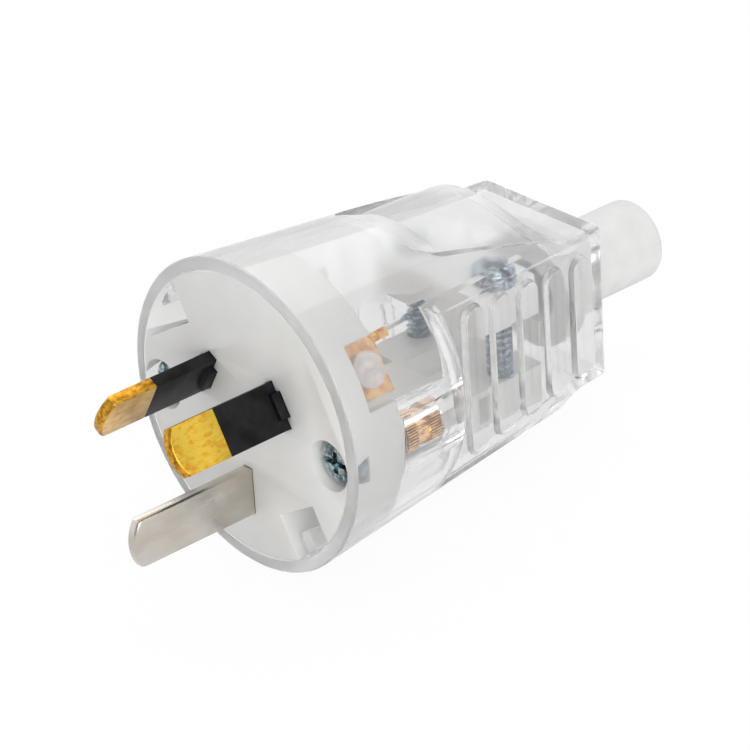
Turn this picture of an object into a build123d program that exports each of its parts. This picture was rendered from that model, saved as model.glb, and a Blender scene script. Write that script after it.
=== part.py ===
from build123d import *
from math import atan, cos, degrees, radians, sin, tan
import os

# A rewireable three-pin plug in millimetres, lying on its side. The origin is the middle of the
# plug's face, the pins point to -Y, the cord would leave to +Y, +Z is up and the earth pin is below.

# Pins: three flat blades, the two live ones turned 30 degrees off upright
pin_width = 6.35
pin_thickness = 1.6
live_pin_radius = 7.92
active_angle = 30
neutral_angle = 180 - active_angle
earth_pin_drop = 10.31
live_pin_reach = 17.2
earth_pin_reach = 19.1
pin_tip_bulge = 1.0
pin_tip_chamfer = 0.3
pin_fit = 0.05

# Black sleeves moulded round the necked root of the live pins
sleeve_reach = 9.4
sleeve_depth = 1.5
sleeve_wall = 0.35
lug_width = 3.4
lug_height = 0.8
lug_length = 1.3
lug_seat = 0.6

# Clear cover: a tapered drum, a rounded shoulder, then a flat-sided grip and a rear box
rim_radius = 20.95
cover_length = 52.0
taper = 0.104
wall = 1.7
rear_wall = 1.8
shoulder_start = 18.2
shoulder_radius = 5.0
grip_front = 22.0
grip_half_width_front = 14.2
grip_half_width_rear = 10.8
grip_edge_height_front = 11.4
grip_edge_height_rear = 10.1
grip_edge_angle = 20
rear_box_half_height = 10.6
drop_radius = 7.4
drop_end = 47.0
rim_rounding = 0.4
rear_rounding = 0.6
rear_side_rounding = 1.2

# Shallow thumb recess on top of the grip: a ramp down from the front, then it fades out
recess_front = 22.0
recess_outline_front = 21.5
recess_ramp = 4.2
recess_end = 44.0
recess_half_width_front = 8.2
recess_half_width_rear = 11.4
recess_corner = 5.0
recess_depth = 0.8
recess_fade_out = 46.0

# Raised ribs on each flat side of the grip
rib_count = 5
rib_first = 26.2
rib_pitch = 5.2
rib_width = 4.0
rib_height = 0.7
rib_bevel_angle = 27
rib_root = 0.2
rib_crest_rounding = 0.25
rib_half_length_front = 10.6
rib_half_length_rear = 8.8
rib_drop = -0.25

# White base: face disc with a skirt that slides into the cover
base_gap = 0.12
face_thickness = 2.6
skirt_length = 9.2
skirt_wall = 1.4
access_front = 4.6
access_depth = 4.75
live_access_span = (16, 42)
earth_access_span = (-120, -88)
barrier_angles = (90, 210, 330)
barrier_thickness = 1.3
barrier_end = 14.0
barrier_edge_distance = 5.95

# Key notches in the base's edge and the cover's lugs that enter them, on frames turned by angle:
# the two sides of a notch are measured from the plug's axis and its depth from the cover's rim
lower_notch_angle = -60
lower_notch_sides = (-1.0, 6.4)
upper_notch_angle = 120
upper_notch_sides = (3.3, 12.8)
notch_depth = 7.85
notch_wall = 1.2
key_lug_depth = 4.75
lug_side_gap = 0.5
upper_lug_end = 9.4
key_lug_front = 1.4
key_lug_length = 3.2

# Two assembly screws from the face into knurled inserts in the cover
screw_edge_distance = 5.15
screw_drop = -1.1
screw_radius = 1.5
screw_head_radius = 2.75
screw_head_height = 2.0
screw_sink = 1.1
screw_length = 12.0
counterbore_radius = 3.35
screw_tube_wall = 0.95
tube_end = 9.6
thread_gap = 0.05
clearance_gap = 0.2
insert_radius = 2.8
insert_waist_radius = 2.4
insert_length = 6.0
insert_band = 1.9
insert_sink = 0.3
insert_fit = 0.05
knurl_count = 42
knurl_size = 0.2
boss_radius = 4.1
boss_end = 20.5
screw_relief = 1.5

# Brass terminals on the pin tails, each with a wire tunnel and a clamping screw
pin_tail_end = 11.6
terminal_front = 4.8
terminal_rear = 11.8
terminal_half_width = 3.6
terminal_back = 2.0
tunnel_radius = 1.5
tunnel_offset = 3.2
tunnel_wall = 0.9
thread_height = 3.4
terminal_screw_y = 8.3
terminal_head_radius = 2.3
terminal_head_height = 1.6
terminal_slot_width = 0.6
terminal_slot_depth = 0.8
guide_tab_length = 2.4
guide_tab_height = 1.4
guide_tab_thickness = 1.0

# Cord clamp on the base's tongue: platform, bar and two screws
tongue_half_width = 4.0
tongue_thickness = 1.5
platform_top = -4.7
platform_height = 5.3
platform_front = 27.6
platform_rear = 40.6
platform_half_width = 9.4
platform_roof = 2.3
platform_channel_half_width = 3.8
side_window_y = 30.4
side_window_width = 2.2
side_window_height = 3.6
side_window_depth = 2.4
clamp_y = 35.2
clamp_screw_offset = 7.4
clamp_screw_length = 14.0
clamp_head_radius = 2.7
clamp_head_height = 1.9
clamp_bar_width = 10.4
clamp_bar_half_length = 9.6
clamp_bar_bottom = 2.6
clamp_bar_height = 5.4
clamp_bar_corner = 0.8
cord_groove_radius = 4.3
platform_groove_depth = 0.8
bar_groove_depth = 1.9

# White cable sleeve held by its flange behind the rear wall
cable_axis_drop = -0.5
cable_sleeve_radius = 5.6
cable_bore_radius = 4.0
cable_sleeve_end = 68.4
cable_sleeve_rounding = 1.4
cable_flange_radius = 7.6
cable_flange_thickness = 2.6
cable_hole_gap = 0.1

# Driver recesses and rounding of the screw heads
driver_slot_width = 0.75
driver_slot_depth = 0.9
driver_cross_span = 3.0
driver_cross_depth = 1.3
head_rounding = 0.6

# Places worked out from the sizes above
far = 2 * rim_radius
active_centre = (live_pin_radius * cos(radians(active_angle)),
                 live_pin_radius * sin(radians(active_angle)))
neutral_centre = (-active_centre[0], active_centre[1])
earth_centre = (0, -earth_pin_drop)
lug_thickness = pin_thickness + 2 * lug_height
grip_taper = (grip_half_width_front - grip_half_width_rear) / (cover_length - grip_front)
edge_taper = (grip_edge_height_front - grip_edge_height_rear) / (cover_length - grip_front)
access_floor = rim_radius - access_depth
barrier_reach = rim_radius - barrier_edge_distance
notch_floor = rim_radius - notch_depth
key_lug_floor = rim_radius - key_lug_depth
screw_offset = rim_radius - screw_edge_distance
screw_places = ((screw_offset, screw_drop), (-screw_offset, screw_drop))
screw_seat = screw_sink + screw_head_height
screw_tip = screw_seat + screw_length
insert_front = tube_end + insert_sink
rear_wall_inside = cover_length - rear_wall
clamp_bar_top = clamp_bar_bottom + clamp_bar_height
platform_bottom = platform_top - platform_height
live_block = (-terminal_back, tunnel_offset + thread_height,
              -terminal_half_width, terminal_half_width)
earth_block = (-terminal_half_width, thread_height,
               -tunnel_offset - tunnel_radius - tunnel_wall, terminal_back)

os.makedirs("parts", exist_ok=True)


def across(y):
    """The plane square to the plug's axis at y, with X to the right and Z up."""
    return Plane.XZ.offset(-y)


def turned(y, angle, centre=(0, 0)):
    """The plane across(y), moved to centre and turned by angle about the plug's direction."""
    turned_x = (cos(radians(angle)), 0, sin(radians(angle)))
    return Plane(origin=(centre[0], y, centre[1]), x_dir=turned_x, z_dir=(0, -1, 0))


def facing(y, angle, centre, out, aside):
    """The plane square to the direction angle, out along it from centre and aside across it."""
    corner = turned(y, angle, centre).from_local_coords((out, aside, 0))
    outward = (cos(radians(angle)), 0, sin(radians(angle)))
    return Plane(origin=corner, x_dir=(0, 1, 0), z_dir=outward)


def cone_radius(y, inset=0):
    """Radius at y of the cover's cone, drawn in by inset."""
    return rim_radius - inset - taper * y


def grip_half_width(y):
    """Half the distance at y between the grip's two flat sides."""
    return grip_half_width_front - grip_taper * (y - grip_front)


def grip_section(y, inset):
    """The grip's outline at y: upright flat sides whose long edges lean inwards."""
    side = grip_half_width(y) - inset
    edge = grip_edge_height_front - edge_taper * (y - grip_front) - inset / 2
    top = edge + rim_radius
    lean = side - rim_radius * tan(radians(grip_edge_angle))
    return [(side, -edge), (side, edge), (lean, top), (-lean, top),
            (-side, edge), (-side, -edge), (-lean, -top), (lean, -top)]


def cover_form(inset, front, rear, rounded=False):
    """The cover's form from front to rear, drawn in by inset: drum, shoulder, grip, rear box."""
    slope = degrees(atan(taper))
    shoulder_y = shoulder_start - shoulder_radius * sin(radians(slope))
    shoulder_r = cone_radius(shoulder_start) - shoulder_radius * cos(radians(slope))
    box_half = rear_box_half_height - inset
    with BuildPart() as form:
        # Flat sides with leaning long edges
        for y in (front, rear):
            with BuildSketch(across(y)):
                Polygon(*grip_section(y, inset), align=None)
        loft(ruled=True)
        # Hollow drops from the cone to the flat rear box, above and below
        with BuildSketch(Plane.YZ):
            with BuildLine():
                drop = CenterArc((drop_end, rear_box_half_height + drop_radius),
                                 drop_radius + inset, 180, 90)
                Polyline(drop @ 1, (rear, box_half), (rear, 0), (front, 0), (front, far),
                         ((drop @ 0).X, far), drop @ 0)
            make_face()
            mirror(about=Plane.XZ)
        extrude(amount=far, both=True, mode=Mode.INTERSECT)
        if rounded:
            fillet(edges().group_by(Axis.Y)[-1].filter_by(Axis.Z), radius=rear_side_rounding)
            fillet(edges().group_by(Axis.Y)[-1], radius=rear_rounding)
        # Tapered cone over the whole length
        with BuildSketch(Plane.YZ):
            Polygon((front, 0), (front, cone_radius(front, inset)),
                    (rear, cone_radius(rear, inset)), (rear, 0), align=None)
        revolve(axis=Axis.Y, mode=Mode.INTERSECT)
        # Drum with its rounded shoulder
        with BuildSketch(Plane.YZ):
            with BuildLine():
                shoulder = CenterArc((shoulder_y, shoulder_r), shoulder_radius - inset,
                                     0, 90 - slope)
                Polyline(shoulder @ 1, (front, cone_radius(front, inset)), (front, 0),
                         ((shoulder @ 0).X, 0), shoulder @ 0)
            make_face()
        revolve(axis=Axis.Y)
    return form.part


def notch_outline(angle, sides, floor, outer):
    """Corners of an edge notch between two sides, from its floor out to outer."""
    out = Vector(cos(radians(angle)), sin(radians(angle)))
    along = Vector(-out.Y, out.X)
    corners = ((floor, sides[0]), (outer, sides[0]), (outer, sides[1]), (floor, sides[1]))
    return [out * depth + along * side for depth, side in corners]


def save(part, name):
    """Label a finished piece and write it as a STEP file of its own."""
    part.label = name
    export_step(part, f"parts/{name}.step")


# Clear cover

lower_lug_sides = (lower_notch_sides[0] + lug_side_gap, lower_notch_sides[1] - lug_side_gap)
upper_lug_sides = (upper_notch_sides[0] + lug_side_gap, upper_lug_end)
ramp_end = recess_front + recess_ramp
floor_radius = cone_radius(ramp_end) - recess_depth
ramp_slope = (cone_radius(recess_front) - floor_radius) / recess_ramp
floor_slope = (floor_radius - cone_radius(recess_fade_out)) / (recess_fade_out - ramp_end)

with BuildPart() as thumb_recess:
    with BuildSketch(Plane.XY.offset(rear_box_half_height)):
        Polygon((-recess_half_width_rear, recess_end),
                (-recess_half_width_front, recess_outline_front),
                (recess_half_width_front, recess_outline_front),
                (recess_half_width_rear, recess_end), align=None)
        fillet(vertices().group_by(Axis.Y)[0], radius=recess_corner)
    extrude(amount=rim_radius)
    with BuildSketch(Plane.YZ):
        Polygon((0, 0), (0, floor_radius + ramp_slope * ramp_end), (ramp_end, floor_radius),
                (cover_length, floor_radius - floor_slope * (cover_length - ramp_end)),
                (cover_length, 0), align=None)
    revolve(axis=Axis.Y, mode=Mode.SUBTRACT)

with BuildPart() as grip_ribs:
    side_plane = Plane(origin=(grip_half_width(rib_first), rib_first, 0),
                       x_dir=(-grip_taper, 1, 0), z_dir=(1, grip_taper, 0))
    root_spread = 2 * rib_root * tan(radians(rib_bevel_angle))
    for rib in range(rib_count):
        share = rib / (rib_count - 1)
        half_length = rib_half_length_front * (1 - share) + rib_half_length_rear * share
        with BuildSketch(side_plane.offset(-rib_root)):
            with Locations((rib * rib_pitch, rib_drop)):
                SlotOverall(2 * half_length + root_spread, rib_width + root_spread, rotation=90)
        extrude(amount=rib_root + rib_height, taper=rib_bevel_angle)
    crests = faces().filter_by(GeomType.PLANE).sort_by(Axis(side_plane.origin, side_plane.z_dir))
    fillet(crests[-rib_count:].edges(), radius=rib_crest_rounding)
    mirror(about=Plane.YZ)

with BuildPart() as inner_features:
    with BuildSketch(across(tube_end)):
        with Locations(*screw_places):
            Circle(boss_radius)
    extrude(amount=tube_end - boss_end)
    with BuildSketch(across(key_lug_front)):
        Polygon(*notch_outline(lower_notch_angle, lower_lug_sides, key_lug_floor, far), align=None)
        Polygon(*notch_outline(upper_notch_angle, upper_lug_sides, key_lug_floor, far), align=None)
    extrude(amount=-key_lug_length)
    add(cover_form(wall / 2, 0, cover_length), mode=Mode.INTERSECT)

with BuildPart() as clear_cover:
    add(cover_form(0, 0, cover_length, rounded=True))
    add(thumb_recess.part, mode=Mode.SUBTRACT)
    fillet(edges().group_by(Axis.Y)[0], radius=rim_rounding)
    add(grip_ribs.part)
    add(cover_form(wall, -wall, rear_wall_inside), mode=Mode.SUBTRACT)
    add(inner_features.part)
    # Pockets for the knurled inserts and room for the screw tips
    with BuildSketch(across(tube_end)):
        with Locations(*screw_places):
            Circle(insert_radius + insert_fit)
    extrude(amount=-(insert_sink + insert_length), mode=Mode.SUBTRACT)
    with BuildSketch(across(tube_end)):
        with Locations(*screw_places):
            Circle(screw_radius + clearance_gap)
    extrude(amount=tube_end - screw_tip - screw_relief, mode=Mode.SUBTRACT)
    # Hole for the cable sleeve
    with BuildSketch(across(cover_length)):
        with Locations((0, cable_axis_drop)):
            Circle(cable_sleeve_radius + cable_hole_gap)
    extrude(amount=2 * rear_wall, mode=Mode.SUBTRACT)
save(clear_cover.part, "clear_cover")

# White base with its skirt, barriers, screw tubes and cord clamp platform

lower_notch_wall_sides = (lower_notch_sides[0] - notch_wall, lower_notch_sides[1] + notch_wall)

with BuildPart() as pin_base:
    # Tubes round the assembly screws and walls for the lower notch, trimmed to the taper
    with BuildSketch(across(0)):
        with Locations(*screw_places):
            Circle(counterbore_radius + screw_tube_wall)
        Polygon(*notch_outline(lower_notch_angle, lower_notch_wall_sides,
                               notch_floor - notch_wall, far), align=None)
    extrude(amount=-tube_end)
    with BuildSketch(Plane.YZ):
        Polygon((0, 0), (0, cone_radius(0, wall + base_gap)),
                (tube_end, cone_radius(tube_end, wall + base_gap)), (tube_end, 0), align=None)
    revolve(axis=Axis.Y, mode=Mode.INTERSECT)
    # Face disc and skirt
    with BuildSketch(Plane.YZ):
        inner = wall + base_gap + skirt_wall
        Polygon((0, 0), (0, cone_radius(0, wall + base_gap)),
                (skirt_length, cone_radius(skirt_length, wall + base_gap)),
                (skirt_length, cone_radius(skirt_length, inner)),
                (face_thickness, cone_radius(face_thickness, inner)),
                (face_thickness, 0), align=None)
    revolve(axis=Axis.Y)
    # Barriers between the terminals
    with BuildSketch(across(0)):
        for angle in barrier_angles:
            Rectangle(barrier_reach, barrier_thickness, rotation=angle,
                      align=(Align.MIN, Align.CENTER))
    extrude(amount=-barrier_end)
    # Seats for the three terminals
    for angle, centre, block in ((active_angle, active_centre, live_block),
                                 (neutral_angle, neutral_centre, live_block),
                                 (-90, earth_centre, earth_block)):
        with BuildSketch(turned(0, angle, centre)):
            with Locations(((block[0] + block[1]) / 2, (block[2] + block[3]) / 2)):
                Rectangle(block[1] - block[0], block[3] - block[2])
        extrude(amount=-terminal_front)
    # Openings in the skirt towards the terminal screws
    with BuildSketch(across(access_front)):
        for first, last in (live_access_span, earth_access_span):
            corners = []
            for reach, angle in ((access_floor, first), (far, first),
                                 (far, last), (access_floor, last)):
                corners.append((reach * cos(radians(angle)), reach * sin(radians(angle))))
            Polygon(*corners, align=None)
    extrude(amount=-skirt_length, mode=Mode.SUBTRACT)
    # Key notches through face and skirt
    with BuildSketch(across(0)):
        Polygon(*notch_outline(lower_notch_angle, lower_notch_sides, notch_floor, far),
                align=None)
        Polygon(*notch_outline(upper_notch_angle, upper_notch_sides, notch_floor, far),
                align=None)
    extrude(amount=-barrier_end, mode=Mode.SUBTRACT)
    # Tongue and clamp platform
    with BuildSketch(across(0)):
        with Locations((0, platform_top)):
            Rectangle(2 * tongue_half_width, tongue_thickness, align=(Align.CENTER, Align.MAX))
    extrude(amount=-platform_front)
    with BuildSketch(across(platform_front)):
        with Locations((0, platform_top)):
            Rectangle(2 * platform_half_width, platform_height, align=(Align.CENTER, Align.MAX))
        with Locations((0, platform_bottom)):
            Rectangle(2 * platform_channel_half_width, platform_height - platform_roof,
                      align=(Align.CENTER, Align.MIN), mode=Mode.SUBTRACT)
        with Locations((0, platform_top + cord_groove_radius - platform_groove_depth)):
            Circle(cord_groove_radius, mode=Mode.SUBTRACT)
    extrude(amount=platform_front - platform_rear)
    with BuildSketch(Plane.XY.offset(platform_top)):
        with Locations((clamp_screw_offset, clamp_y), (-clamp_screw_offset, clamp_y)):
            Circle(screw_radius + thread_gap)
    extrude(amount=-platform_height, mode=Mode.SUBTRACT)
    for side in (-1, 1):
        with BuildSketch(Plane.YZ.offset(side * platform_half_width)):
            with Locations((side_window_y, platform_top - platform_height / 2)):
                Rectangle(side_window_width, side_window_height)
        extrude(amount=-side * side_window_depth, mode=Mode.SUBTRACT)
    # Counterbored holes for the assembly screws
    with BuildSketch(across(0)):
        with Locations(*screw_places):
            Circle(counterbore_radius)
    extrude(amount=-screw_seat, mode=Mode.SUBTRACT)
    with BuildSketch(across(0)):
        with Locations(*screw_places):
            Circle(screw_radius + clearance_gap)
    extrude(amount=-tube_end, mode=Mode.SUBTRACT)
    # Slots for the three pins
    for angle, centre in ((active_angle, active_centre), (neutral_angle, neutral_centre),
                          (0, earth_centre)):
        with BuildSketch(turned(0, angle, centre)):
            Rectangle(pin_thickness + 2 * pin_fit, pin_width + 2 * pin_fit)
        extrude(amount=-terminal_front, mode=Mode.SUBTRACT)
    # Pockets in the face for the lugs of the pin sleeves
    for angle, centre in ((active_angle, active_centre), (neutral_angle, neutral_centre)):
        with BuildSketch(turned(0, angle, centre)):
            Rectangle(lug_thickness + 2 * pin_fit, lug_width + 2 * pin_fit)
        extrude(amount=-lug_seat, mode=Mode.SUBTRACT)
save(pin_base.part, "pin_base")

# Pins


def pin_blade(angle, centre, reach, necked):
    """A flat blade with a bowed tip, its broad side facing angle, necked where a sleeve sits."""
    blade_plane = Plane(origin=(centre[0], 0, centre[1]), x_dir=(0, 1, 0),
                        z_dir=(cos(radians(angle)), 0, sin(radians(angle))))
    half = pin_width / 2
    with BuildPart() as pin:
        with BuildSketch(blade_plane):
            with BuildLine():
                tip = ThreePointArc((pin_tip_bulge - reach, half), (-reach, 0),
                                    (pin_tip_bulge - reach, -half))
                Polyline(tip @ 1, (pin_tail_end, -half), (pin_tail_end, half), tip @ 0)
            make_face()
        extrude(amount=pin_thickness / 2, both=True)
        chamfer(edges().filter_by(GeomType.CIRCLE), length=pin_tip_chamfer)
        if necked:
            with BuildSketch(turned(-sleeve_reach, angle, centre)):
                Rectangle(2 * pin_thickness, 2 * pin_width)
                Rectangle(pin_thickness - 2 * sleeve_wall, pin_width - 2 * sleeve_wall,
                          mode=Mode.SUBTRACT)
            extrude(amount=-sleeve_reach - sleeve_depth, mode=Mode.SUBTRACT)
    return pin.part


active_pin = pin_blade(active_angle, active_centre, live_pin_reach, True)
save(active_pin, "active_pin")
neutral_pin = pin_blade(neutral_angle, neutral_centre, live_pin_reach, True)
save(neutral_pin, "neutral_pin")
earth_pin = pin_blade(0, earth_centre, earth_pin_reach, False)
save(earth_pin, "earth_pin")

# Black pin sleeves


def pin_sleeve(angle, centre):
    """A sleeve flush with the pin's blade, with a small lug on each broad side at the face."""
    with BuildPart() as sleeve:
        with BuildSketch(turned(-sleeve_reach, angle, centre)):
            Rectangle(pin_thickness, pin_width)
        extrude(amount=-sleeve_reach - sleeve_depth)
        with BuildSketch(turned(-lug_length, angle, centre)):
            Rectangle(lug_thickness, lug_width)
        extrude(amount=-lug_length - lug_seat)
        with BuildSketch(turned(-sleeve_reach, angle, centre)):
            Rectangle(pin_thickness - 2 * sleeve_wall, pin_width - 2 * sleeve_wall)
        extrude(amount=-sleeve_reach - sleeve_depth, mode=Mode.SUBTRACT)
    return sleeve.part


active_pin_sleeve = pin_sleeve(active_angle, active_centre)
save(active_pin_sleeve, "active_pin_sleeve")
neutral_pin_sleeve = pin_sleeve(neutral_angle, neutral_centre)
save(neutral_pin_sleeve, "neutral_pin_sleeve")

# Brass terminals: block outlines and tunnels lie on a frame whose X is the screw's direction


def terminal_block(angle, centre, block, pin_size, tunnel):
    """A brass block slotted onto a pin's tail, with a wire tunnel and a tapped screw hole."""
    frame = turned(terminal_front, angle, centre)
    with BuildPart() as terminal:
        with BuildSketch(frame):
            with Locations(((block[0] + block[1]) / 2, (block[2] + block[3]) / 2)):
                Rectangle(block[1] - block[0], block[3] - block[2])
            with Locations(tunnel):
                Circle(tunnel_radius, mode=Mode.SUBTRACT)
            Rectangle(pin_size[0] + 2 * pin_fit, pin_size[1] + 2 * pin_fit, mode=Mode.SUBTRACT)
        extrude(amount=terminal_front - terminal_rear)
        with BuildSketch(turned(terminal_rear, angle, centre)):
            with Locations((block[1], block[3])):
                Rectangle(guide_tab_height, guide_tab_thickness, align=(Align.MAX, Align.MAX))
        extrude(amount=-guide_tab_length)
        with BuildSketch(facing(terminal_screw_y, angle, centre, block[1], tunnel[1])):
            Circle(screw_radius)
        extrude(amount=-thread_height, mode=Mode.SUBTRACT)
    return terminal.part


def terminal_screw(angle, centre, block, tunnel):
    """A slotted cheese-head screw standing on the block's outer side, its tip in the tunnel."""
    seat = facing(terminal_screw_y, angle, centre, block[1], tunnel[1])
    with BuildPart() as screw:
        with BuildSketch(seat):
            Circle(terminal_head_radius)
        extrude(amount=terminal_head_height)
        with BuildSketch(seat):
            Circle(screw_radius - thread_gap)
        extrude(amount=-thread_height)
        with BuildSketch(seat.offset(terminal_head_height)):
            Rectangle(2 * terminal_head_radius, terminal_slot_width)
        extrude(amount=-terminal_slot_depth, mode=Mode.SUBTRACT)
    return screw.part


live_pin_size = (pin_thickness, pin_width)
earth_pin_size = (pin_width, pin_thickness)
live_tunnel = (tunnel_offset, 0)
earth_tunnel = (0, -tunnel_offset)
poles = (("active", active_angle, active_centre, live_block, live_pin_size, live_tunnel),
         ("neutral", neutral_angle, neutral_centre, live_block, live_pin_size, live_tunnel),
         ("earth", -90, earth_centre, earth_block, earth_pin_size, earth_tunnel))
for pole, angle, centre, block, pin_size, tunnel in poles:
    save(terminal_block(angle, centre, block, pin_size, tunnel), f"{pole}_terminal")
    save(terminal_screw(angle, centre, block, tunnel), f"{pole}_terminal_screw")

# Knurled inserts moulded into the cover's bosses


def knurled_insert(centre):
    """A tapped bush with two knurled bands and a plain waist between them."""
    rear = insert_front + insert_length
    axis_plane = Plane(origin=(centre[0], 0, centre[1]), x_dir=(0, 1, 0), z_dir=(1, 0, 0))
    with BuildPart() as insert:
        with BuildSketch(axis_plane):
            Polygon((insert_front, screw_radius + thread_gap), (insert_front, insert_radius),
                    (insert_front + insert_band, insert_radius),
                    (insert_front + insert_band, insert_waist_radius),
                    (rear - insert_band, insert_waist_radius),
                    (rear - insert_band, insert_radius), (rear, insert_radius),
                    (rear, screw_radius + thread_gap), align=None)
        revolve(axis=Axis((centre[0], 0, centre[1]), (0, 1, 0)))
        with BuildSketch(turned(insert_front, 0, centre)):
            with PolarLocations(insert_radius, knurl_count):
                Rectangle(knurl_size, knurl_size, rotation=45)
        extrude(amount=-insert_length, mode=Mode.SUBTRACT)
    return insert.part


save(knurled_insert(screw_places[0]), "right_knurled_insert")
save(knurled_insert(screw_places[1]), "left_knurled_insert")

# Pan-head screws with a slot and a cross


def pan_head_screw(head_plane, head_radius, head_height, length):
    """A screw whose head's top lies on head_plane and whose shank runs away behind it."""
    with BuildPart() as screw:
        with BuildSketch(head_plane):
            Circle(head_radius)
        extrude(amount=-head_height)
        fillet(faces().sort_by(Axis(head_plane.origin, head_plane.z_dir))[-1].edges(),
               radius=head_rounding)
        with BuildSketch(head_plane.offset(-head_height)):
            Circle(screw_radius)
        extrude(amount=-length)
        with BuildSketch(head_plane):
            Rectangle(2 * head_radius, driver_slot_width)
        extrude(amount=-driver_slot_depth, mode=Mode.SUBTRACT)
        with BuildSketch(head_plane):
            Rectangle(driver_cross_span, driver_slot_width)
            Rectangle(driver_slot_width, driver_cross_span)
        extrude(amount=-driver_cross_depth, mode=Mode.SUBTRACT)
    return screw.part


for name, centre in zip(("right_assembly_screw", "left_assembly_screw"), screw_places):
    save(pan_head_screw(turned(screw_sink, 0, centre), screw_head_radius, screw_head_height,
                        screw_length), name)

# Cord clamp: arched bar and its two screws

with BuildPart() as cord_clamp_bar:
    with BuildSketch(across(clamp_y)):
        with Locations((0, clamp_bar_bottom)):
            Rectangle(2 * clamp_bar_half_length, clamp_bar_height,
                      align=(Align.CENTER, Align.MIN))
        with Locations((0, clamp_bar_bottom + bar_groove_depth - cord_groove_radius)):
            Circle(cord_groove_radius, mode=Mode.SUBTRACT)
    extrude(amount=clamp_bar_width / 2, both=True)
    fillet(edges().filter_by(Axis.Z).group_by(SortBy.LENGTH)[-1], radius=clamp_bar_corner)
    with BuildSketch(Plane.XY.offset(clamp_bar_top)):
        with Locations((clamp_screw_offset, clamp_y), (-clamp_screw_offset, clamp_y)):
            Circle(screw_radius + clearance_gap)
    extrude(amount=-clamp_bar_height, mode=Mode.SUBTRACT)
save(cord_clamp_bar.part, "cord_clamp_bar")

for name, offset in (("right_clamp_screw", clamp_screw_offset),
                     ("left_clamp_screw", -clamp_screw_offset)):
    top_plane = Plane(origin=(offset, clamp_y, clamp_bar_top + clamp_head_height))
    save(pan_head_screw(top_plane, clamp_head_radius, clamp_head_height, clamp_screw_length),
         name)

# Cable sleeve

with BuildPart() as cable_sleeve:
    with BuildSketch(Plane(origin=(0, 0, cable_axis_drop), x_dir=(0, 1, 0), z_dir=(1, 0, 0))):
        flange_front = rear_wall_inside - cable_flange_thickness
        Polygon((flange_front, cable_bore_radius), (flange_front, cable_flange_radius),
                (rear_wall_inside, cable_flange_radius), (rear_wall_inside, cable_sleeve_radius),
                (cable_sleeve_end, cable_sleeve_radius), (cable_sleeve_end, cable_bore_radius),
                align=None)
        fillet(vertices().group_by(Axis.X)[-1].sort_by(Axis.Y)[-1], radius=cable_sleeve_rounding)
    revolve(axis=Axis((0, 0, cable_axis_drop), (0, 1, 0)))
save(cable_sleeve.part, "cable_sleeve")
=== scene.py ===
from math import cos, pi, radians, sin

import bpy
from mathutils import Matrix, Vector


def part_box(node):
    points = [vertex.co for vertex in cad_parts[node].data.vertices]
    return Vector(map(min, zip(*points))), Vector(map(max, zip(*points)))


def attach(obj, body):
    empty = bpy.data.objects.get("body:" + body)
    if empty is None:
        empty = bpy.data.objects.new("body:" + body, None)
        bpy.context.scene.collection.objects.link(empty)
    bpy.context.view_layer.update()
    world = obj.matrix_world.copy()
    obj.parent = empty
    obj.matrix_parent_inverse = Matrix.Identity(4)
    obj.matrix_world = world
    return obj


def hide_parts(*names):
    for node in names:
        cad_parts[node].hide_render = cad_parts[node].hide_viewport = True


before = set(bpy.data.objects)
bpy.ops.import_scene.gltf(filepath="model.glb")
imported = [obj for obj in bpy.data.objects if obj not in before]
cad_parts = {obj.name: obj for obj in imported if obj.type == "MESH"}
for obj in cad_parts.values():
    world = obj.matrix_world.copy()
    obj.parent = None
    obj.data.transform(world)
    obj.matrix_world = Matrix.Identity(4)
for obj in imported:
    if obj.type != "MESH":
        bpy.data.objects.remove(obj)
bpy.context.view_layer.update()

MM = 0.001

# Range that most of a noise pattern's values lie in
noise_low, noise_high = 0.25, 0.75

# Helpers for colours and nodes


def linear(hex_colour):
    """An sRGB hex colour as linear red, green, blue and alpha 1."""
    channels = [int(hex_colour[i:i + 2], 16) / 255 for i in (1, 3, 5)]
    return tuple(c / 12.92 if c <= 0.04045 else ((c + 0.055) / 1.055) ** 2.4
                 for c in channels) + (1.0,)


def add_node(tree, kind, settings=None, links=None):
    """Adds a shader node; settings name its properties or sockets, links feed its sockets."""
    node = tree.nodes.new(kind)
    for key, value in (settings or {}).items():
        if isinstance(key, int) or key in node.inputs:
            node.inputs[key].default_value = value
        else:
            setattr(node, key, value)
    for key, socket in (links or {}).items():
        tree.links.new(socket, node.inputs[key])
    return node


def new_material(name):
    """A material with no nodes yet, and its node tree."""
    material = bpy.data.materials.new(name)
    material.use_nodes = True
    material.node_tree.nodes.clear()
    return material, material.node_tree


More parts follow.
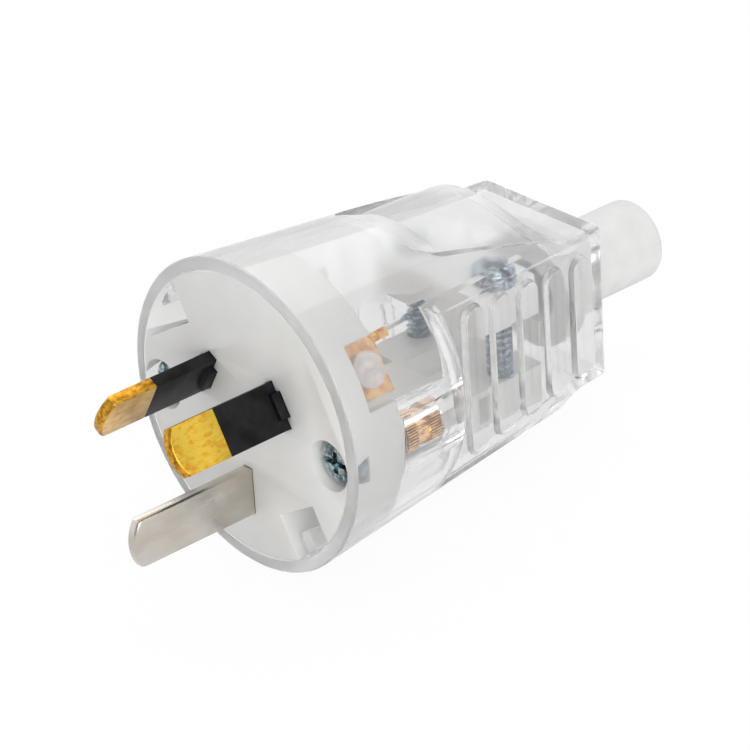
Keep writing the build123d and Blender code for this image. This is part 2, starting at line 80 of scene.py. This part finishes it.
def patterned_material(name, tone, colours, grain, roughness, bump_mm, shader,
                       colour_span=(0.3, 0.7)):
    """A material whose colour follows a broad pattern, and gloss and bump a finer one.

    tone and grain are each the size of a pattern in mm, its stretch along X, Y and Z, and its
    detail. colours and roughness run from their first value to their second, the colours over
    colour_span of the pattern.
    """
    material, tree = new_material(name)
    place = add_node(tree, "ShaderNodeTexCoord")
    patterns = []
    for size_mm, stretch, detail in (tone, grain):
        mapping = add_node(tree, "ShaderNodeMapping", {"Scale": [1 / s for s in stretch]},
                           {"Vector": place.outputs["Object"]})
        patterns.append(add_node(tree, "ShaderNodeTexNoise",
                                 {"Scale": 1 / (size_mm * MM), "Detail": detail},
                                 {"Vector": mapping.outputs["Vector"]}).outputs["Fac"])
    share = add_node(tree, "ShaderNodeMapRange",
                     {"From Min": colour_span[0], "From Max": colour_span[1]},
                     {"Value": patterns[0]})
    colour = add_node(tree, "ShaderNodeMix",
                      {"data_type": "RGBA", 6: linear(colours[0]), 7: linear(colours[1])},
                      {0: share.outputs["Result"]})
    gloss = add_node(tree, "ShaderNodeMapRange",
                     {"From Min": noise_low, "From Max": noise_high,
                      "To Min": roughness[0], "To Max": roughness[1]},
                     {"Value": patterns[1]})
    bump = add_node(tree, "ShaderNodeBump", {"Strength": 1.0, "Distance": bump_mm * MM},
                    {"Height": patterns[1]})
    surface = add_node(tree, "ShaderNodeBsdfPrincipled", shader,
                       {"Base Color": colour.outputs[2], "Roughness": gloss.outputs["Result"],
                        "Normal": bump.outputs["Normal"]})
    add_node(tree, "ShaderNodeOutputMaterial", None, {"Surface": surface.outputs["BSDF"]})
    return material


# Refractive indices of the plastics, and the size and stretch of their flow waves
polycarbonate_ior = 1.585
nylon_ior = 1.53
vinyl_ior = 1.53
flow_wave_size = 7 * MM
flow_stretch = 2.5


def clear_polycarbonate(name, roughness, haze, wave_mm):
    """Moulded clear polycarbonate with faint flow waves, which lets the lamps shine through.

    roughness blurs it, haze is the share of light that its surface scatters, and wave_mm is
    the height of its flow waves, which are drawn out along the plug.
    """
    material, tree = new_material(name)
    place = add_node(tree, "ShaderNodeTexCoord")
    flow = add_node(tree, "ShaderNodeMapping", {"Scale": (1, 1 / flow_stretch, 1)},
                    {"Vector": place.outputs["Object"]})
    waves = add_node(tree, "ShaderNodeTexNoise", {"Scale": 1 / flow_wave_size, "Detail": 2.0},
                     {"Vector": flow.outputs["Vector"]})
    bump = add_node(tree, "ShaderNodeBump", {"Strength": 1.0, "Distance": wave_mm * MM},
                    {"Height": waves.outputs["Fac"]})
    glass = add_node(tree, "ShaderNodeBsdfPrincipled",
                     {"Base Color": linear("#FDFDFD"), "Roughness": roughness,
                      "IOR": polycarbonate_ior, "Transmission Weight": 1 - haze},
                     {"Normal": bump.outputs["Normal"]})
    lamp_light = add_node(tree, "ShaderNodeBsdfTransparent", {"Color": linear("#B8B8B8")})
    path = add_node(tree, "ShaderNodeLightPath")
    surface = add_node(tree, "ShaderNodeMixShader", None,
                       {0: path.outputs["Is Shadow Ray"], 1: glass.outputs["BSDF"],
                        2: lamp_light.outputs["BSDF"]})
    add_node(tree, "ShaderNodeOutputMaterial", None, {"Surface": surface.outputs[0]})
    return material


# Materials. A grain or a draw line finer than about 0.2 mm wouldn't show in the render, so the
# finest ones are drawn that coarse.

# Clear polycarbonate, moulded: polished outside, satin inside, where the mould's core was left
# as machined, smoother on the grip's inner sides, and matt on the rim that the socket rubs.
polished_polycarbonate = clear_polycarbonate("polished_polycarbonate", 0.035, 0.03, 0.015)
satin_polycarbonate = clear_polycarbonate("satin_polycarbonate", 0.22, 0.14, 0.01)
smoother_polycarbonate = clear_polycarbonate("smoother_polycarbonate", 0.1, 0.1, 0.01)
rim_polycarbonate = clear_polycarbonate("rubbed_rim_polycarbonate", 0.3, 0.1, 0.01)

# Opal white polycarbonate, moulded: satin, and light sinks in a little at its edges.
opal_polycarbonate = patterned_material(
    "opal_polycarbonate", (9, (1, 1, 1), 3.0), ("#E6E6E4", "#EEEEEC"),
    (0.25, (1, 1, 1), 2.0), (0.34, 0.42), 0.01,
    {"IOR": polycarbonate_ior, "Subsurface Weight": 0.25, "Subsurface Radius": (1.0, 1.0, 0.95),
     "Subsurface Scale": 1.2 * MM})

# White nylon of the clamp bar, moulded: whiter and more matt than the base.
white_nylon = patterned_material(
    "white_nylon", (5, (1, 1, 1), 2.0), ("#F4F4F3", "#FAFAFA"),
    (0.3, (1, 1, 1), 2.0), (0.4, 0.5), 0.01,
    {"IOR": nylon_ior, "Subsurface Weight": 0.2, "Subsurface Radius": (1.0, 1.0, 1.0),
     "Subsurface Scale": 1 * MM})

# Black nylon, moulded: near matt, with a fine spark-eroded texture and faint cloudy patches.
black_nylon = patterned_material(
    "black_nylon", (2.6, (1, 1, 1), 2.0), ("#030304", "#202023"),
    (0.18, (1, 1, 1), 2.0), (0.3, 0.46), 0.012,
    {"IOR": nylon_ior, "Specular IOR Level": 0.2})

# Brass strip, drawn, a little tarnished: gold with orange blotches and fine draw lines.
drawn_brass = patterned_material(
    "drawn_brass", (0.7, (1, 1.8, 1), 4.0), ("#EC9620", "#FFD854"),
    (0.22, (1, 22, 1), 4.0), (0.22, 0.38), 0.02, {"Metallic": 1.0}, (0.25, 0.52))

# The same strip in a browner copy for the neutral pin: a painted reflection of the darker
# surroundings that its sides mirror.
reflection_painted_brass = patterned_material(
    "drawn_brass_painted_reflection", (0.8, (1, 1.8, 1), 4.0), ("#CDA062", "#F2CC8C"),
    (0.22, (1, 22, 1), 4.0), (0.24, 0.36), 0.02, {"Metallic": 1.0}, (0.25, 0.65))

# The strip's sheared edges: deeper gold and rougher than its rolled sides.
sheared_brass = patterned_material(
    "sheared_brass", (0.5, (1, 1.8, 1), 4.0), ("#8A5410", "#E8AE3C"),
    (0.3, (1, 1, 1), 4.0), (0.26, 0.42), 0.04, {"Metallic": 1.0}, (0.3, 0.62))

# Nickel plating over the drawn strip of the earth pin: warm grey, polished.
nickel_plating = patterned_material(
    "nickel_plating", (4, (1, 2, 1), 3.0), ("#C6BFB6", "#DDD7CF"),
    (0.2, (1, 25, 1), 4.0), (0.18, 0.3), 0.012, {"Metallic": 1.0})

# Machined brass of the terminals: bright and orange, with cutter marks.
machined_brass = patterned_material(
    "machined_brass", (1.1, (1, 1, 1), 4.0), ("#BE6C20", "#FFCB78"),
    (0.9, (1, 0.4, 1), 3.0), (0.2, 0.34), 0.09, {"Metallic": 1.0}, (0.32, 0.6))

# Knurled brass of the inserts: redder and bright.
knurled_brass = patterned_material(
    "knurled_brass", (0.5, (1, 2, 1), 3.0), ("#C98A4E", "#FFD6A4"),
    (0.3, (1, 1, 1), 3.0), (0.16, 0.3), 0.01, {"Metallic": 1.0}, (0.3, 0.55))

# The knurl's grooves, nearer to the insert's axis than its crests, get painted shade: a dark
# brown that stands in for the shade deep in the grooves. The left insert mirrors the right one,
# so the distance from the plug's middle serves both.
insert_low, insert_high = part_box("right_knurled_insert")
insert_axis_x = (insert_low[0] + insert_high[0]) / 2
insert_axis_z = (insert_low[2] + insert_high[2]) / 2
groove_radius, groove_spread = 2.64 * MM, 0.06 * MM

tree = knurled_brass.node_tree
place = add_node(tree, "ShaderNodeTexCoord")
coordinates = add_node(tree, "ShaderNodeSeparateXYZ", None, {0: place.outputs["Object"]})
from_middle = add_node(tree, "ShaderNodeMath", {"operation": "ABSOLUTE"},
                       {0: coordinates.outputs["X"]})
across_axis = add_node(tree, "ShaderNodeCombineXYZ", None,
                       {"X": from_middle.outputs[0], "Z": coordinates.outputs["Z"]})
from_axis = add_node(tree, "ShaderNodeVectorMath",
                     {"operation": "DISTANCE", 1: (insert_axis_x, 0, insert_axis_z)},
                     {0: across_axis.outputs[0]})
in_groove = add_node(tree, "ShaderNodeMath",
                     {"operation": "COMPARE", 1: groove_radius, 2: groove_spread},
                     {0: from_axis.outputs["Value"]})
surface = tree.nodes["Principled BSDF"]
brass = surface.inputs["Base Color"].links[0].from_socket
# Painted shade: dark brown in the knurl's grooves, mixed over the brass.
painted_groove_shade = add_node(tree, "ShaderNodeMix", {"data_type": "RGBA", 7: linear("#5A3A20")},
                   {0: in_groove.outputs[0], 6: brass})
tree.links.new(painted_groove_shade.outputs[2], surface.inputs["Base Color"])

# Bright steel of the terminal screws: turned and washed, with a faint pink painted in as the
# reflection of the brass round it.
bright_steel = patterned_material(
    "bright_steel", (1.0, (1, 1, 1), 3.0), ("#CFC6C2", "#F0E8E4"),
    (0.3, (1, 1, 1), 3.0), (0.14, 0.26), 0.01, {"Metallic": 1.0})

# Blue zinc plating of the clamp screws: the blue-grey tint is the plating's, and its darkness
# and its dark and light clouds are painted reflection of dark and bright surroundings; the
# sharp glints come from its gloss.
blue_zinc = patterned_material(
    "blue_zinc_plating", (0.5, (1, 1, 1), 4.0), ("#46586A", "#B4C2CE"),
    (0.6, (1, 1, 1), 3.0), (0.12, 0.24), 0.03, {"Metallic": 1.0}, (0.38, 0.58))

# Zinc plating of the assembly screws: the blue-green tint is the plating's, and its darkness
# and its dark and light clouds are painted reflection of dark and bright surroundings.
zinc_painted_dark = patterned_material(
    "zinc_plating_painted_dark", (0.7, (1, 1, 1), 4.0), ("#40565E", "#BCCED2"),
    (0.6, (1, 1, 1), 3.0), (0.14, 0.26), 0.04, {"Metallic": 1.0}, (0.36, 0.6))

# Soft white vinyl of the cable sleeve, moulded: matt, with a faint grain.
soft_vinyl = patterned_material(
    "soft_vinyl", (3, (1, 1, 1), 3.0), ("#E2E2E1", "#EAEAE9"),
    (0.3, (1, 1, 1), 3.0), (0.46, 0.54), 0.015, {"IOR": vinyl_ior})

# Pieces

merge_distance = 0.001 * MM
flat_angle = radians(0.3)
sharp_angle = radians(35)
smooth_angle = radians(30)


def set_active(piece):
    """Makes a piece the only one selected, and the active one."""
    bpy.ops.object.select_all(action="DESELECT")
    piece.select_set(True)
    bpy.context.view_layer.objects.active = piece


def finished_copy(node_name, name, edge_mm, air_mm):
    """A merged copy of a CAD node, its sharp edges softened by edge_mm.

    With no edge_mm it keeps the true normals of the CAD surfaces. air_mm is the film of air
    left round a piece that the clear cover touches, which keeps its surface from looking wet.
    """
    cad_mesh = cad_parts[node_name].data
    piece = bpy.data.objects.new(name, cad_mesh.copy())
    bpy.context.scene.collection.objects.link(piece)
    set_active(piece)
    bpy.ops.mesh.customdata_custom_splitnormals_clear()
    bpy.ops.object.mode_set(mode="EDIT")
    bpy.ops.mesh.select_all(action="SELECT")
    bpy.ops.mesh.remove_doubles(threshold=merge_distance)
    if edge_mm:
        bpy.ops.mesh.dissolve_limited(angle_limit=flat_angle)
    if air_mm:
        bpy.ops.transform.shrink_fatten(value=-air_mm * MM)
    bpy.ops.object.mode_set(mode="OBJECT")
    if edge_mm:
        bevel = piece.modifiers.new("edges", "BEVEL")
        bevel.width = edge_mm * MM
        bevel.segments = 2
        bevel.limit_method = "ANGLE"
        bevel.angle_limit = sharp_angle
        bpy.ops.object.modifier_apply(modifier=bevel.name)
        bpy.ops.object.shade_smooth_by_angle(angle=smooth_angle)
    else:
        bpy.ops.object.shade_smooth()
        true_normals = [tuple(corner.vector) for corner in cad_mesh.corner_normals]
        piece.data.normals_split_custom_set(true_normals)
    return piece


def give(piece, material, slot, *replaced):
    """Gives a finished piece its material, hangs it on the root body and hides the CAD nodes it
    stands for. slot is not used.
    """
    piece.data.materials.clear()
    piece.data.materials.append(material)
    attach(piece, "root")
    if replaced:
        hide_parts(*replaced)


# Where the cover's kinds of surface begin and end, along the plug and across it
rim_rear = 0.6 * MM
grip_front = 21 * MM
recess_bottom = 15 * MM
boss_front, boss_rear = 9 * MM, 20.4 * MM
boss_inner_side = 11 * MM

# Least facing of a rim, a side and an inner wall, as the cosine of an angle
rim_facing = 0.2
side_facing = 0.8
inward_facing = 0.1
ray_start = 0.02 * MM

# Slots of the cover's materials
polished, satin, smoother, rim = range(4)


def looks_inward(cover, face):
    """Whether a face of the cover looks at another part of it, as its inner walls do.

    The bosses round the inserts are left out, because they are as clear as the outside.
    """
    if boss_front < face.center.y < boss_rear and abs(face.center.x) > boss_inner_side:
        return False
    outwards = Vector((face.center.x, 0, face.center.z)).normalized()
    if face.normal.dot(outwards) < -inward_facing:
        return True
    hit = cover.ray_cast(face.center + face.normal * ray_start, face.normal)[0]
    in_recess = face.center.z > recess_bottom and face.center.y > grip_front
    return hit and not in_recess


def cover_slot(cover, face):
    """The slot of the material that a face of the cover takes."""
    if face.center.y < rim_rear and face.normal.y < -rim_facing:
        return rim
    if not looks_inward(cover, face):
        return polished
    if face.center.y > grip_front and abs(face.normal.x) > side_facing:
        return smoother
    return satin


# node, softened edge in mm, film of air in mm, material, record slot
finishes = (
    ("clear_cover", 0.0, 0.0, polished_polycarbonate, "clear_cover"),
    ("pin_base", 0.12, 0.04, opal_polycarbonate, "white_base"),
    ("active_pin", 0.15, 0.0, drawn_brass, "pin_brass"),
    # The neutral pin takes the browner brass copy, whose colour is a painted reflection.
    ("neutral_pin", 0.15, 0.0, reflection_painted_brass, "pin_brass"),
    ("earth_pin", 0.2, 0.0, nickel_plating, "earth_plating"),
    ("active_pin_sleeve", 0.12, 0.0, black_nylon, "black_sleeve"),
    ("neutral_pin_sleeve", 0.12, 0.0, black_nylon, "black_sleeve"),
    ("active_terminal", 0.15, 0.0, machined_brass, "terminal_brass"),
    ("neutral_terminal", 0.15, 0.0, machined_brass, "terminal_brass"),
    ("earth_terminal", 0.15, 0.0, machined_brass, "terminal_brass"),
    ("active_terminal_screw", 0.12, 0.0, bright_steel, "zinc_screw"),
    ("neutral_terminal_screw", 0.12, 0.0, bright_steel, "zinc_screw"),
    ("earth_terminal_screw", 0.12, 0.0, bright_steel, "zinc_screw"),
    # The assembly screws take zinc whose darkness is painted reflection.
    ("right_assembly_screw", 0.08, 0.0, zinc_painted_dark, "zinc_screw"),
    ("left_assembly_screw", 0.08, 0.0, zinc_painted_dark, "zinc_screw"),
    ("right_knurled_insert", 0.0, 0.04, knurled_brass, "insert_brass"),
    ("left_knurled_insert", 0.0, 0.04, knurled_brass, "insert_brass"),
    ("cord_clamp_bar", 0.3, 0.0, white_nylon, "white_clamp"),
    # The clamp screws take blue zinc whose darkness is partly painted reflection.
    ("right_clamp_screw", 0.08, 0.0, blue_zinc, "zinc_screw"),
    ("left_clamp_screw", 0.08, 0.0, blue_zinc, "zinc_screw"),
    ("cable_sleeve", 0.0, 0.05, soft_vinyl, "cable_sleeve"),
)
rolled_facing = 0.9

for node_name, edge_mm, air_mm, material, slot in finishes:
    piece = finished_copy(node_name, node_name + "_finished", edge_mm, air_mm)
    give(piece, material, slot, node_name)
    if node_name == "clear_cover":
        for other in (satin_polycarbonate, smoother_polycarbonate, rim_polycarbonate):
            piece.data.materials.append(other)
        for face in piece.data.polygons:
            face.material_index = cover_slot(piece, face)
    if node_name in ("active_pin", "neutral_pin"):
        # The largest face is a rolled side, and what doesn't lie along it is a sheared edge.
        piece.data.materials.append(sheared_brass)
        rolled = max(piece.data.polygons, key=lambda face: face.area).normal.copy()
        for face in piece.data.polygons:
            face.material_index = int(abs(face.normal.dot(rolled)) < rolled_facing)

# Rolled thread of the clamp screws, where it shows between the bar and the platform

thread_pitch = 0.95 * MM
thread_depth = 0.42 * MM
thread_crest = 1.8 * MM
steps_per_turn = 24
spare_turns = 3
platform_top = -4.7 * MM
bar_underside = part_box("cord_clamp_bar")[0][2]


def thread_ridge(name, screw_node):
    """The ridge of a screw's thread from the platform up to the clamp bar.

    A triangle with a corner outwards winds up from a turn below the platform to past the bar,
    and is then cut flat at both.
    """
    low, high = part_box(screw_node)
    axis_x, axis_y = (low[0] + high[0]) / 2, (low[1] + high[1]) / 2
    # An even triangle is 1.5 times as high as the radius of the circle round it.
    corner = thread_depth / 1.5
    bpy.ops.object.select_all(action="DESELECT")
    bpy.ops.mesh.primitive_circle_add(vertices=3, radius=corner,
                                      rotation=(radians(90), radians(-90), radians(180)))
    ridge = bpy.context.active_object
    ridge.name = name
    bpy.ops.object.transform_apply(location=False, rotation=True, scale=False)
    bpy.ops.object.mode_set(mode="EDIT")
    bpy.ops.mesh.select_all(action="SELECT")
    bpy.ops.transform.translate(value=(thread_crest - corner, 0, platform_top - thread_pitch))
    bpy.ops.object.mode_set(mode="OBJECT")
    turns = ridge.modifiers.new("turns", "SCREW")
    turns.angle = 2 * pi
    turns.screw_offset = thread_pitch
    turns.iterations = int((bar_underside - platform_top) / thread_pitch) + spare_turns
    turns.steps = turns.render_steps = steps_per_turn
    bpy.ops.object.modifier_apply(modifier=turns.name)
    bpy.ops.object.mode_set(mode="EDIT")
    bpy.ops.mesh.select_all(action="SELECT")
    bpy.ops.mesh.fill_holes(sides=3)
    bpy.ops.mesh.normals_make_consistent(inside=False)
    for level, cut in ((platform_top, {"clear_inner": True}),
                       (bar_underside, {"clear_outer": True})):
        bpy.ops.mesh.select_all(action="SELECT")
        bpy.ops.mesh.bisect(plane_co=(0, 0, level), plane_no=(0, 0, 1), use_fill=True, **cut)
    bpy.ops.mesh.select_all(action="SELECT")
    bpy.ops.transform.translate(value=(axis_x, axis_y, 0))
    bpy.ops.object.mode_set(mode="OBJECT")
    bpy.ops.object.shade_smooth_by_angle(angle=smooth_angle)
    give(ridge, blue_zinc, "zinc_screw")


thread_ridge("right_clamp_thread", "right_clamp_screw")
thread_ridge("left_clamp_thread", "left_clamp_screw")

# Camera found from the pins' standard sizes: turned 49.8 degrees, 27.8 degrees up

azimuth, elevation, roll = radians(49.758), radians(27.797), radians(-3.652)
aside_mm, raised_mm, distance_mm = 16.219, 5.144, 555.9
sensor_width_mm, focal_length_mm = 36, 216

toward_camera = Vector((sin(azimuth) * cos(elevation), -cos(azimuth) * cos(elevation),
                        sin(elevation)))
level_right = Vector((cos(azimuth), sin(azimuth), 0))
level_up = toward_camera.cross(level_right)
camera_right = level_right * cos(roll) + level_up * sin(roll)
camera_up = level_up * cos(roll) - level_right * sin(roll)
camera_place = (camera_right * aside_mm + camera_up * raised_mm
                + toward_camera * distance_mm) * MM
camera_data = bpy.data.cameras.new("photo_camera")
camera_data.sensor_width = sensor_width_mm
camera_data.lens = focal_length_mm
camera = bpy.data.objects.new("photo_camera", camera_data)
bpy.context.scene.collection.objects.link(camera)
camera.matrix_world = Matrix((
    (camera_right.x, camera_up.x, toward_camera.x, camera_place.x),
    (camera_right.y, camera_up.y, toward_camera.y, camera_place.y),
    (camera_right.z, camera_up.z, toward_camera.z, camera_place.z),
    (0, 0, 0, 1)))
bpy.context.scene.camera = camera

# Floor: the plug lies on its tapered drum, so the floor follows the lowest line of its taper

floor_size = 4.0
floor_drop = 20.95 * MM
floor_tilt = radians(5.937)

# Share of plain white in what the camera, gloss and clear plastic see of the floor, and the
# strength of that white, in gloss or through plastic and then straight to the camera
floor_white_share = 0.92
seen_through_white = 0.88
camera_white = 1.02

material, tree = new_material("pale_floor")
path = add_node(tree, "ShaderNodeLightPath")
paint = add_node(tree, "ShaderNodeBsdfDiffuse", {"Color": linear("#F2F2F2")})
white_strength = add_node(tree, "ShaderNodeMapRange",
                          {"To Min": seen_through_white, "To Max": camera_white},
                          {"Value": path.outputs["Is Camera Ray"]})
white = add_node(tree, "ShaderNodeEmission", {"Color": (1, 1, 1, 1)},
                 {"Strength": white_strength.outputs["Result"]})
mirrored = add_node(tree, "ShaderNodeMath", {"operation": "MAXIMUM"},
                    {0: path.outputs["Is Glossy Ray"], 1: path.outputs["Is Transmission Ray"]})
seen = add_node(tree, "ShaderNodeMath", {"operation": "MAXIMUM"},
                {0: mirrored.outputs[0], 1: path.outputs["Is Camera Ray"]})
share = add_node(tree, "ShaderNodeMath", {"operation": "MULTIPLY", 1: floor_white_share},
                 {0: seen.outputs[0]})
surface = add_node(tree, "ShaderNodeMixShader", None,
                   {0: share.outputs[0], 1: paint.outputs[0], 2: white.outputs[0]})
add_node(tree, "ShaderNodeOutputMaterial", None, {"Surface": surface.outputs[0]})
bpy.ops.object.select_all(action="DESELECT")
bpy.ops.mesh.primitive_plane_add(size=floor_size, location=(0, 0, -floor_drop),
                                 rotation=(floor_tilt, 0, 0))
floor = bpy.context.active_object
floor.name = "pale_floor"
floor.data.materials.append(material)

# Studio: white behind the plug, greyer behind the camera where gloss mirrors it, and a plain
# level of light on matt surfaces

room_level = 0.6

# How far a ray turns towards the camera, and the strength of the world at both ends of that
# span where it is mirrored, seen through plastic or seen straight
facing_span = (0.1, 0.9)
mirrored_span = (1.0, 0.35)
through_span = (0.88, 0.7)
camera_span = (1.0, 1.0)

world = bpy.data.worlds.new("studio")
bpy.context.scene.world = world
world.use_nodes = True
tree = world.node_tree
tree.nodes.clear()
sight = add_node(tree, "ShaderNodeTexCoord")
facing = add_node(tree, "ShaderNodeVectorMath",
                  {"operation": "DOT_PRODUCT", 1: tuple(toward_camera)},
                  {0: sight.outputs["Generated"]})
path = add_node(tree, "ShaderNodeLightPath")
strength = None
for ray, span in (("Is Glossy Ray", mirrored_span), ("Is Transmission Ray", through_span),
                  ("Is Camera Ray", camera_span)):
    level = add_node(tree, "ShaderNodeMapRange",
                     {"From Min": facing_span[0], "From Max": facing_span[1],
                      "To Min": span[0], "To Max": span[1]},
                     {"Value": facing.outputs["Value"]})
    choice = add_node(tree, "ShaderNodeMix", {"data_type": "FLOAT", 2: room_level},
                      {0: path.outputs[ray], 3: level.outputs["Result"]})
    if strength:
        tree.links.new(strength, choice.inputs[2])
    strength = choice.outputs[0]
sky = add_node(tree, "ShaderNodeBackground", {"Color": (1, 1, 1, 1)}, {"Strength": strength})
add_node(tree, "ShaderNodeOutputWorld", None, {"Surface": sky.outputs[0]})

# Lamps: a large one high behind the plug on its left, and a smaller one in front on its right

plug_middle = Vector((0, 20, 0)) * MM


def softbox(name, place, size, power):
    """A square area lamp at place that faces the plug, in metres and watts."""
    bpy.ops.object.light_add(type="AREA", location=place)
    lamp = bpy.context.active_object
    lamp.name = name
    lamp.data.size = size
    lamp.data.energy = power
    aim = plug_middle - Vector(place)
    lamp.rotation_euler = aim.to_track_quat("-Z", "Y").to_euler()


softbox("key_softbox", (-0.25, 0.25, 0.55), 0.8, 1.7)
softbox("side_softbox", (0.55, -0.22, 0.2), 0.4, 1.55)

bpy.context.scene.view_settings.view_transform = "Standard"

# Light crosses the cover, the pieces in it and the cover again, so it needs many bounces.
cycles = bpy.context.scene.cycles
cycles.max_bounces = 32
cycles.transmission_bounces = 32
cycles.glossy_bounces = 24
